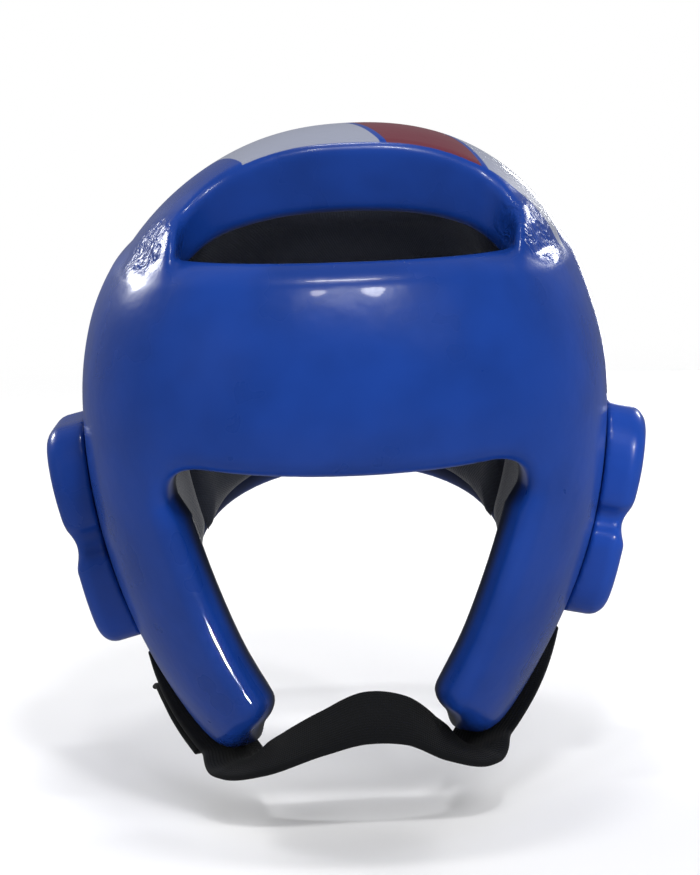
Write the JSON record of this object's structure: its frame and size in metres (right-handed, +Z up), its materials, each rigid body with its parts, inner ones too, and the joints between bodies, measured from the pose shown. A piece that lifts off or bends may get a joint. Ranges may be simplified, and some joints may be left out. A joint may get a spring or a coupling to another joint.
{
  "type": "sparring headgear",
  "caption": "Dipped foam sparring headgear with an open face, open crown slots, padded ear guards, vent dimples behind and an elastic chin strap; held up as a head holds it.",
  "frame": {"origin": "the head seat: the point of the hollow, under the middle of the crown, that the top of a head touches", "axes": "+Z up as worn, -Y the way the wearer looks, +X to the wearer's left"},
  "size_m": [0.2336, 0.2294, 0.2394],
  "materials": {
    "foam_shell": "glossy blue vinyl skin on foam",
    "ear_guard_left": "glossy blue vinyl skin on foam",
    "ear_guard_right": "glossy blue vinyl skin on foam",
    "lining_left": "matt charcoal lining cloth on thin foam",
    "lining_right": "matt charcoal lining cloth on thin foam",
    "lining_back": "matt charcoal lining cloth on thin foam",
    "chin_strap": "woven black elastic",
    "strap_tab": "black hook-and-loop tape"
  },
  "bodies": {
    "root": {"foam_shell": "foam_shell", "ear_guard_left": "ear_guard_left", "ear_guard_right": "ear_guard_right", "lining_left": "lining_left", "lining_right": "lining_right", "lining_back": "lining_back", "chin_strap": "chin_strap", "strap_tab": "strap_tab"}
  },
  "joints": []
}
